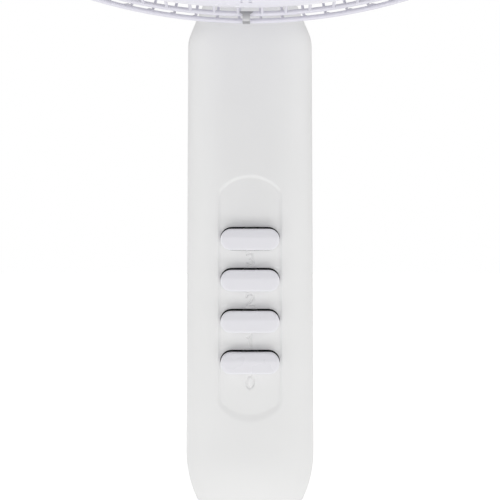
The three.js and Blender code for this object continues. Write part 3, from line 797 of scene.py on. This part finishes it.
REAR_PATH = [(57, -41.6), (120, -43), (176, -48), (200.5, -61), (205.3, -84), REAR_RIM]
BEND = [bend_point(90), bend_point(45), bend_point(0)]
FRONT_PATH = [(44, -163.6), (120, -162.6), (170, -161), *BEND, FRONT_RIM]


def spline(points, count):
    """A smooth curve through points, evenly divided."""
    points = np.array(points, float)
    ends = np.vstack([2 * points[0] - points[1], points, 2 * points[-1] - points[-2]])
    dense = []
    for i in range(len(points) - 1):
        a, b, c, d = ends[i:i + 4]
        for t in np.linspace(0, 1, 24, endpoint=False):
            dense.append(0.5 * (2 * b + (c - a) * t + (2 * a - 5 * b + 4 * c - d) * t**2
                                + (3 * b - a - 3 * c + d) * t**3))
    dense.append(points[-1])
    dense = np.array(dense)
    travel = np.concatenate([[0], np.cumsum(np.linalg.norm(np.diff(dense, axis=0), axis=1))])
    at = np.linspace(0, travel[-1], count)
    return np.column_stack([np.interp(at, travel, dense[:, k]) for k in range(2)])


def ring_wire(radius, y, thickness, sides=12, segments=240):
    """A hoop around the motor axis."""
    turns = [2 * math.pi * k / sides for k in range(sides)]
    section = [(radius + thickness * math.cos(a), y + thickness * math.sin(a)) for a in turns]
    return turned_mesh(section, "y", AXLE, segments)


def spoke_wires(path, steps, sides=8):
    """Every spoke wire of a guard as one mesh."""
    line = spline(path, steps)
    tangent = np.gradient(line, axis=0)
    tangent /= np.linalg.norm(tangent, axis=1)[:, None]
    normal = np.column_stack([-tangent[:, 1], tangent[:, 0]])
    vertices = []
    faces = []
    for wire in range(GUARD_WIRES):
        angle = (wire + 0.5) / GUARD_WIRES * 2 * math.pi
        out = np.array([math.sin(angle), 0, math.cos(angle)])
        side = np.array([math.cos(angle), 0, -math.sin(angle)])
        first = len(vertices)
        for (radius, y), (n_r, n_y) in zip(line, normal):
            for k in range(sides):
                turn = 2 * math.pi * k / sides
                across = WIRE_RADIUS * math.cos(turn)
                up = WIRE_RADIUS * math.sin(turn)
                point = out * (radius + up * n_r) + side * across
                vertices.append((point[0], y + up * n_y, HEAD_Z + point[2]))
        faces += loft_faces(steps, sides, first)
    return vertices, faces


def wire_piece(name, shape, replaces=()):
    piece(name, *shape, "head", "painted_wire", wire_white, replaces)


def guards():
    rear_plate = rounded([(19.4, -42.8), (60, -42.8), (60, -40.4), (19.4, -40.4)], 0.6)
    wire_piece("rear_guard_plate", turned_mesh(rear_plate, "y", AXLE), ["rear_guard"])
    wire_piece("rear_guard_rim", ring_wire(*REAR_RIM, RIM_WIRE))
    wire_piece("rear_guard_hoop", ring_wire(130, -42.2, 1.3))
    wire_piece("rear_guard_wires", spoke_wires(REAR_PATH, 40))
    front_plate = rounded([(0, -165.2), (46, -165.2), (46, -162.6), (0, -162.6)], 0.6)
    wire_piece("front_guard_plate", turned_mesh(front_plate, "y", AXLE), ["front_guard"])
    wire_piece("front_guard_rim", ring_wire(*FRONT_RIM, RIM_WIRE))
    wire_piece("front_guard_hoop", ring_wire(130, -161, 1.0))
    wire_piece("front_guard_wires", spoke_wires(FRONT_PATH, 48))


def trim_ring():
    """The band around the front guard's edge."""
    angles = np.linspace(-8, 80, 23)
    outer = [bend_point(a, TRIM_GAP + TRIM_WALL) for a in angles]
    inner = [bend_point(a, TRIM_GAP) for a in reversed(angles)]
    ring = plain("ring", *turned_mesh(rounded(outer + inner, 0.8), "y", AXLE, 300))
    latch = [block(x, (-172, -148.5), (HEAD_Z - LATCH_REACH, HEAD_Z - 190)) for x in LATCH_SLITS]
    mesh = combined(ring, [("DIFFERENCE", joined(latch))])
    finished("front_trim", mesh, "head", trim_white, ["guard_trim"], 30)


def badge():
    """A plain domed cap with two turned grooves."""
    face = [(0, -173)]
    for radius in np.linspace(3, 46, 60):
        dome = -173 + 4.6 * (radius / 47) ** 3
        groove = sum(0.5 * math.exp(-((radius - at) / 0.7) ** 2) for at in (30, 38))
        face.append((radius, dome + groove))
    profile = face + [(48.3, -167.4), (48.5, -166), (48.2, -165.6), (0, -165.6)]
    turned("badge_cap", profile, "head", "white_plastic", shell_white, ["guard_badge"], "y", AXLE)


BLADE_RADIUS = 200
BLADE_Y = -91
HUB_RADIUS = 32
BLADE_CORNER = 12
BLADE_COUNT = 5
BLADE_ROOT = 30.5  # inside the hub
HUB_BACK = 27  # radius where the chord and the pitch are reckoned from


def blade_mesh(turn):
    """One blade as a thin, twisted, cambered sheet with rounded tip corners and thinned edges."""
    tip_turns = np.linspace(0.3, math.pi / 2, 12)
    tip_stations = BLADE_RADIUS - BLADE_CORNER * np.cos(tip_turns)
    stations = np.concatenate([np.linspace(BLADE_ROOT, 186, 26), tip_stations])
    across = 24
    vertices = []
    for side in (-1, 1):
        for radius in stations:
            reach = (radius - HUB_BACK) / (BLADE_RADIUS - HUB_BACK)
            chord = 46 + 82 * math.sin(min(reach, 1) * math.pi / 2) ** 0.9
            past = max(0.0, radius - (BLADE_RADIUS - BLADE_CORNER))
            trim = BLADE_CORNER - math.sqrt(max(0.0, BLADE_CORNER**2 - past**2))
            pitch = math.radians(36 - 20 * reach)
            for k in range(across + 1):
                share = k / across
                width = (chord - 2 * trim) * (share - 0.5)
                angle = width * math.cos(pitch) / radius + turn
                camber = 5 * (1 - (2 * share - 1) ** 2) * (1 - 0.4 * reach)
                edge = min(1.0, math.sqrt(max(0.0, 1 - (2 * share - 1) ** 8)))
                tip = math.sqrt(max(0.0, 1 - (past / BLADE_CORNER) ** 6))
                half = 0.15 + 0.85 * edge * tip
                y = BLADE_Y + width * math.sin(pitch) - camber + side * half
                vertices.append((radius * math.sin(angle), y, HEAD_Z - radius * math.cos(angle)))
    columns = across + 1
    back = len(stations) * columns
    faces = []
    for i in range(len(stations) - 1):
        for j in range(across):
            a = i * columns + j
            faces.append((a, a + 1, a + columns + 1, a + columns))
            faces.append((back + a, back + a + columns, back + a + columns + 1, back + a + 1))
        for a in (i * columns, i * columns + across):
            faces.append((a, a + columns, back + a + columns, back + a))
    for j in range(across):
        tip = (len(stations) - 1) * columns + j
        faces.append((j, back + j, back + j + 1, j + 1))
        faces.append((tip, tip + 1, back + tip + 1, back + tip))
    return vertices, faces


def rotor_turned(name, profile, radius, replaces=()):
    outline = rounded(profile, radius)
    turned(name, outline, "rotor", "blade_plastic", blade_white, replaces, "y", AXLE)


def fan_wheel():
    vertices = []
    faces = []
    for i in range(BLADE_COUNT):
        blade_vertices, blade_faces = blade_mesh(2 * math.pi * i / BLADE_COUNT)
        faces += [[a + len(vertices) for a in face] for face in blade_faces]
        vertices += blade_vertices
    piece("fan_blades", vertices, faces, "rotor", "blade_plastic", blade_white, ["fan_wheel"], 50)
    outside = [(4.3, -112), (26, -112), (HUB_RADIUS, -106), (HUB_RADIUS, -68)]
    inside = [(29, -68), (29, -106), (9, -108), (9, -76), (4.3, -76)]
    rotor_turned("fan_hub", outside + inside, 1.2)
    nut = [(0, -127), (9, -126), (16, -122), (19, -116), (19, -112.4)]
    nut_bore = [(4.4, -112.4), (4.4, -122), (0, -122)]
    rotor_turned("spinner_cap", nut + nut_bore, 0.8, ["spinner_nut"])


def ribbed(
    name, radius, depth, ribs, start, end, axis, at, body, material, replaces, bore=0.0, ease=0.8
):
    """A knob or nut: a cylinder with rounded ribs and eased ends."""
    steps = ribs * 12
    eased = ease * 0.3
    levels = [(start, -ease), (start + eased, -eased), (start + ease, 0)]
    levels += [(end - ease, 0), (end - eased, -eased), (end, -ease)]
    vertices = []
    for distance, shrink in levels:
        for k in range(steps):
            angle = 2 * math.pi * k / steps
            wave = depth * (0.5 - 0.5 * math.cos(angle * ribs)) ** 2
            r = radius - wave + shrink
            point = along_axis(axis, distance, r * math.cos(angle), r * math.sin(angle))
            vertices.append(np.add(point, at))
    base = plain(name, vertices, loft_faces(len(levels), steps))
    cuts = [("DIFFERENCE", cylinder(bore, start - 5, end + 5, axis, at, 64))] if bore else []
    return finished(name, combined(base, cuts), body, material, replaces, 40)


KNOB_Y = 42
VENT_COUNT = 24


def motor_cover():
    outline = [(50, -35.4), (50, 44), (47.5, 62), (40, 75.5), (27, 83.5), (0, 88)]
    lining = [(0, 85.6), (25.8, 81.2), (38, 73.8), (45.2, 61), (47.6, 44), (47.6, -35.4)]
    smooth_out = [outline[0]] + [tuple(p) for p in spline(outline[1:], 26)]
    smooth_in = [tuple(p) for p in spline(lining[:-1], 26)] + [lining[-1]]
    profile = closed_shell(smooth_out, smooth_in)
    base = plain("motor_cover_blank", *turned_mesh(profile, "y", AXLE, 120))
    holes = [block((-16, 16), (-40, 16), (HEAD_Z - 70, HEAD_Z - 30)),  # the neck's way in
             cylinder(4, HEAD_Z + 30, HEAD_Z + 70, "z", (0, KNOB_Y, 0)),
             cylinder(2.2, 70, 100, "y", AXLE)]
    mesh = combined(base, [("DIFFERENCE", hole) for hole in holes + vents()])
    finished("motor_housing", mesh, "head", shell_white, ["motor_cover"], 30)


def closed_shell(outer, inner):
    """A profile that starts and ends on the axis, so that it is turned as an open line."""
    return list(reversed(outer)) + list(reversed(inner))


def vents():
    """Slots around the rear of the motor cover."""
    made = []
    for i in range(VENT_COUNT):
        angle = 2 * math.pi * (i + 0.5) / VENT_COUNT
        c, s = math.cos(angle), math.sin(angle)
        corners = []
        for side in (-1.1, 1.1):
            for y in (50, 100):
                for r in (17, 36):
                    corners.append((r * c - side * s, y, HEAD_Z + r * s + side * c))
        made.append(plain("vent", corners, BOX_FACES))
    return made


def oscillation_knob():
    profile = [(0, 14), (3, 14), (3, 51.5), (8.5, 51.5), (7, 60), (9.5, 66), (8.5, 69), (0, 70)]
    turned("oscillation_pull", profile, "oscillation_knob", "white_plastic", knob_white,
           ["oscillation_knob"], "z", (0, KNOB_Y, HEAD_Z), 0.9, 64)


def guard_nut():
    ribbed("rear_guard_nut", 33, 2.2, 20, -51, -43.2, "y", AXLE, "guard_nut",
           knob_white, ["guard_nut"], 18.9)


def neck():
    """The tilting neck: a collar under the motor, and the tongue and web that carry it."""
    solid = [(0, 15), (15, 15), (17, 19), (17, 42.6), (5.3, 42.6), (5.3, 22), (0, 22)]
    profile = [(radius, TILT_Z + rise) for radius, rise in solid]
    turned("neck_collar", profile, "neck", "white_plastic", shell_white, ["tilt_neck"], "z", radius=1.2)
    tongue = [(0, -9), (10.5, -9), (10.5, 9), (0, 9)]
    turned("neck_tongue", tongue, "neck", "white_plastic", shell_white, (), "x", (0, 0, TILT_Z), 0.8)
    corners = box_corners((-9, 9), (-10.2, 10.2), (TILT_Z, TILT_Z + 16))
    piece("neck_web", corners, BOX_FACES, "neck", "white_plastic", shell_white)


def tilt_knob():
    ribbed("tilt_hand_knob", 13, 1.8, 10, 17, 29, "x", (0, 0, TILT_Z), "tilt_knob",
           knob_white, ["tilt_knob"])


# ---------------------------------------------------------------- stand
def foot_cover():
    top = [(188, 9), (160, 15.5), (110, 22.5), (60, 28), (38, 30.5), (27, 34.5), (21, 44), (18.5, 54)]
    under = [(14.3, 54), (14.3, 24), (110, 18.5), (184, 6.5), (187, 2), (190, 3)]
    upper = [tuple(p) for p in spline(top, 60)]
    turned("foot_cover", upper + under, "stand", "white_plastic", shell_white, ["base_cover"],
           segments=160)


def pole():
    """The outer tube on the foot, the inner one that slides in it, and the clamp's sleeve and nut."""
    tube = [(12.5, 10), (14, 10), (14, 430), (12.5, 430)]
    turned("outer_pole", tube, "stand", "painted_steel", tube_white, ["outer_tube"], radius=0.3)
    stem = [(9.8, 190), (11, 190), (11, 700), (9.8, 700)]
    turned("inner_pole", stem, "mast", "chrome", chrome, ["inner_tube"], radius=0.3)
    sleeve = [(14.3, 392), (18.4, 393), (17, 404), (17, 440), (11.3, 440), (11.3, 430.4), (14.3, 430.4)]
    turned("clamp_collar", sleeve, "stand", "white_plastic", shell_white, ["clamp_sleeve"], radius=0.8)
    ribbed("clamp_hand_nut", 23.2, 1.6, 20, 405, 447, "z", (0, 0, 0), "clamp_nut",
           knob_white, ["clamp_nut"], 11.6, 2.5)


def hand_screws():
    """The bolt under the foot, and the screw that holds the column on the pole."""
    ribbed("foot_hand_bolt", 15, 1.6, 12, 1, 3.7, "z", (0, 0, 0), "stand",
           black_plastic, ["base_bolt"])
    ribbed("pole_thumb_screw", 10.5, 1.6, 12, 36.5, 47, "y", (0, 0, COLUMN_Z + POLE_SCREW_Z),
           "pole_screw", black_plastic, ["pole_screw"])


def cord_grommet():
    bush = [(3.4, 26), (4.9, 26), (4.9, 34.9), (8, 34.9), (8, 37), (6, 41), (3.4, 41)]
    turned("cord_grommet", bush, "mast", "rubber", rubber, ["cord_bush"], "y",
           (0, 0, COLUMN_Z + GLAND_Z), 0.5, 64)


CLIP_OFFSET = -1.4
CLIP_SHEET = 0.4
CLIP_STEM = 1.4  # half width
CLIP_BAR = 2.5  # half width of the bar that hooks over the front rim


def clips():
    """Bent spring-steel clips over both rims: a strip with a bar across its front end."""
    path = [(-122.3, 206.9, CLIP_BAR), (-122.5, 207.2, CLIP_BAR), (-122.5, 207.5, CLIP_BAR - 0.3),
            (-122.5, 207.9, CLIP_STEM), (-122.4, 209.7, CLIP_STEM), (-122.0, 210.4, CLIP_STEM),
            (-121.3, 210.6, CLIP_STEM), (-118, 210.65, CLIP_STEM), (-115.5, 210.65, CLIP_STEM),
            (-114.9, 210.2, CLIP_STEM), (-114.8, 209, CLIP_STEM), (-114.8, 207.9, CLIP_STEM)]
    for i, side in enumerate(["bottom", "right", "left"]):
        angle = math.radians(120 * i)
        vertices = []
        for k, (y, r, half) in enumerate(path):
            before, after = path[max(k - 1, 0)], path[min(k + 1, len(path) - 1)]
            along = np.array([after[0] - before[0], after[1] - before[1]])
            normal = np.array([-along[1], along[0]]) / np.linalg.norm(along) * CLIP_SHEET / 2
            for across, out in ((-half, 1), (half, 1), (half, -1), (-half, -1)):
                x = CLIP_OFFSET + across
                radius = r + out * normal[1]
                vertices.append((x * math.cos(angle) + radius * math.sin(angle), y + out * normal[0],
                                 HEAD_Z + x * math.sin(angle) - radius * math.cos(angle)))
        faces = loft_faces(len(path), 4)
        piece(f"clip_spring_{side}", vertices, faces, f"clip_{side}", "steel", clip_steel,
              [f"guard_clip_{side}"])


column_front()
column_rear()
screw_wells()
for index in range(BUTTON_COUNT):
    button(index)
    spring(index)
guards()
trim_ring()
badge()
fan_wheel()
motor_cover()
oscillation_knob()
guard_nut()
neck()
tilt_knob()
foot_cover()
pole()
hand_screws()
cord_grommet()
clips()


# ---------------------------------------------------------------- floor and light
FLOOR_NEAR = 0.28  # the floor's glow around the fan
FLOOR_FAR = 0.6  # its glow beyond the end of the room, so that it meets the white surround
FLOOR_RADIUS = 60  # metres
GLOW_RANGE = (1.0, 5.5)  # metres from the fan between which the glow changes
FILL = 0.425  # the surround's light from every side
SIDE_GLOW = 1.3  # what it has more at both sides
TOP_POWER = 3  # watts
FRONT_POWER = 2.15


def floor():
    """A wide white disc just under the fan's feet."""
    turns = np.linspace(0, 2 * math.pi, 64, endpoint=False)
    rim = [(FLOOR_RADIUS * math.cos(a), FLOOR_RADIUS * math.sin(a), -0.0002) for a in turns]
    mesh = bpy.data.meshes.new("floor")
    mesh.from_pydata(rim, [], [tuple(range(len(rim)))])
    shader = Shader("floor", (0.9, 0.9, 0.9), 0.8).set(Emission_Color=(1, 1, 1, 1))
    distance = shader.node("ShaderNodeVectorMath")
    distance.operation = "LENGTH"
    shader.link(shader.place, distance.inputs[0])
    glow = shader.node("ShaderNodeMapRange")
    for name, value in zip(("From Min", "From Max", "To Min", "To Max"), (*GLOW_RANGE, FLOOR_NEAR, FLOOR_FAR)):
        glow.inputs[name].default_value = value
    shader.link(distance.outputs["Value"], glow.inputs["Value"])
    shader.link(glow.outputs["Result"], shader.bsdf.inputs["Emission Strength"])
    mesh.materials.append(shader.material)
    placed("floor", mesh)


def soft_box(name, place, target, size, power):
    light = bpy.data.lights.new(name, "AREA")
    light.shape = "RECTANGLE"
    light.size, light.size_y = size
    light.energy = power
    made = placed(name, light)
    made.location = place
    direction = Vector(target) - Vector(place)
    made.rotation_euler = direction.to_track_quat("-Z", "Y").to_euler()


def studio():
    """A white surround that is brighter at both sides, with a soft box overhead and a low one in front."""
    world = bpy.data.worlds.new("studio")
    world.use_nodes = True
    nodes = world.node_tree.nodes
    links = world.node_tree.links

    def math_node(operation, a, b):
        made = nodes.new("ShaderNodeMath")
        made.operation = operation
        for socket, value in zip(made.inputs, (a, b)):
            if isinstance(value, float):
                socket.default_value = value
            else:
                links.new(value, socket)
        return made.outputs["Value"]

    split = nodes.new("ShaderNodeSeparateXYZ")
    links.new(nodes.new("ShaderNodeTexCoord").outputs["Generated"], split.inputs["Vector"])
    square = math_node("MULTIPLY", split.outputs["X"], split.outputs["X"])
    sides = math_node("MULTIPLY", math_node("MULTIPLY", square, square), SIDE_GLOW)
    fill = nodes["Background"]
    fill.inputs["Color"].default_value = (1, 1, 1, 1)
    links.new(math_node("ADD", sides, FILL), fill.inputs["Strength"])
    seen = nodes.new("ShaderNodeBackground")
    seen.inputs["Strength"].default_value = 1.0
    seen.inputs["Color"].default_value = (1, 1, 1, 1)
    mix = nodes.new("ShaderNodeMixShader")
    links.new(nodes.new("ShaderNodeLightPath").outputs["Is Camera Ray"], mix.inputs["Fac"])
    links.new(fill.outputs[0], mix.inputs[1])
    links.new(seen.outputs[0], mix.inputs[2])
    links.new(mix.outputs[0], nodes["World Output"].inputs["Surface"])
    bpy.context.scene.world = world
    soft_box("top_box", (0, -1.3, 2.7), (0, 0, 0.75), (2.2, 1.4), TOP_POWER)
    soft_box("front_box", (0, -0.75, 0.22), (0, 0, 0.72), (1.2, 0.25), FRONT_POWER)
    bpy.context.scene.view_settings.view_transform = "Standard"


floor()
studio()
